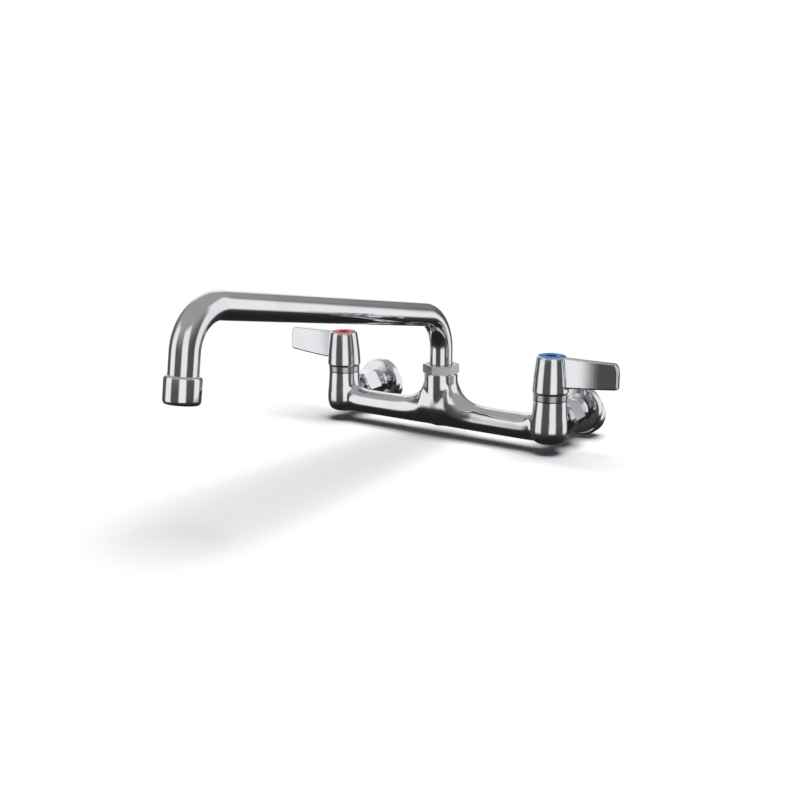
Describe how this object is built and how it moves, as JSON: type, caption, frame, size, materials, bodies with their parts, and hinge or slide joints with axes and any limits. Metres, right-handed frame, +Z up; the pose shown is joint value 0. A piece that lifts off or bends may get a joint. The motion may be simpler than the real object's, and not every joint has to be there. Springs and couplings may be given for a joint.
{
  "type": "wall mounted workboard faucet",
  "caption": "Wall-mounted chrome faucet with a swinging tubular spout over a bar body, lever valves and eccentric flanged wall inlets",
  "frame": {"origin": "on the wall plane, midway between the two supply ports", "axes": "+Y into the wall, +Z up, +X towards the cold valve; the spout points along -Y at rest"},
  "size_m": [0.3152, 0.389, 0.1553],
  "materials": {
    "chrome_body": "polished chrome plate on cast brass",
    "chrome_spout": "polished chrome plate on drawn tube",
    "chrome_lever": "polished chrome plate on die cast lever",
    "chrome_trim": "polished chrome plate on turned brass",
    "brass": "machined, uncoated",
    "steel": "spring steel, satin",
    "ceramic": "lapped alumina",
    "rubber": "black nitrile, matt",
    "white_plastic": "moulded acetal",
    "red_index": "satin moulded red",
    "blue_index": "satin moulded blue"
  },
  "bodies": {
    "faucet_body": {"body_casting": "chrome_body", "spout_nut": "chrome_trim", "hot_seat_seal": "rubber", "hot_fixed_disc": "ceramic", "hot_cartridge_shell": "brass", "hot_bonnet_collar": "chrome_trim", "hot_union_washer": "rubber", "hot_union_nut": "chrome_trim", "hot_inlet_eccentric": "chrome_body", "hot_wall_flange": "chrome_body", "cold_seat_seal": "rubber", "cold_fixed_disc": "ceramic", "cold_cartridge_shell": "brass", "cold_bonnet_collar": "chrome_trim", "cold_union_washer": "rubber", "cold_union_nut": "chrome_trim", "cold_inlet_eccentric": "chrome_body", "cold_wall_flange": "chrome_body"},
    "spout": {"spout_tube": "chrome_spout", "spout_sleeve": "brass", "spout_snap_ring": "steel", "spout_glide_washer": "white_plastic", "spout_o_ring_lower": "rubber", "spout_o_ring_upper": "rubber", "aerator_housing": "chrome_spout", "aerator_insert": "white_plastic", "aerator_washer": "rubber", "spout_tip_adapter": "brass"},
    "hot_handle": {"hot_lever": "chrome_lever", "hot_lever_screw": "chrome_trim", "hot_index_ring": "red_index", "hot_stem": "brass", "hot_moving_disc": "ceramic", "hot_stem_o_ring": "rubber", "hot_stem_clip": "steel"},
    "cold_handle": {"cold_lever": "chrome_lever", "cold_lever_screw": "chrome_trim", "cold_index_ring": "blue_index", "cold_stem": "brass", "cold_moving_disc": "ceramic", "cold_stem_o_ring": "rubber", "cold_stem_clip": "steel"}
  },
  "joints": [
    {"name": "spout_swivel", "type": "hinge", "parent": "faucet_body", "child": "spout", "pos_m": [0, -0.073, 0.05], "axis": [0, 0, 1], "range_deg": [-100, 100]},
    {"name": "hot_lever_turn", "type": "hinge", "parent": "faucet_body", "child": "hot_handle", "pos_m": [-0.1016, -0.073, 0.04], "axis": [0, 0, 1], "range_deg": [0, 90]},
    {"name": "cold_lever_turn", "type": "hinge", "parent": "faucet_body", "child": "cold_handle", "pos_m": [0.1016, -0.073, 0.04], "axis": [0, 0, 1], "range_deg": [-90, 0]}
  ]
}
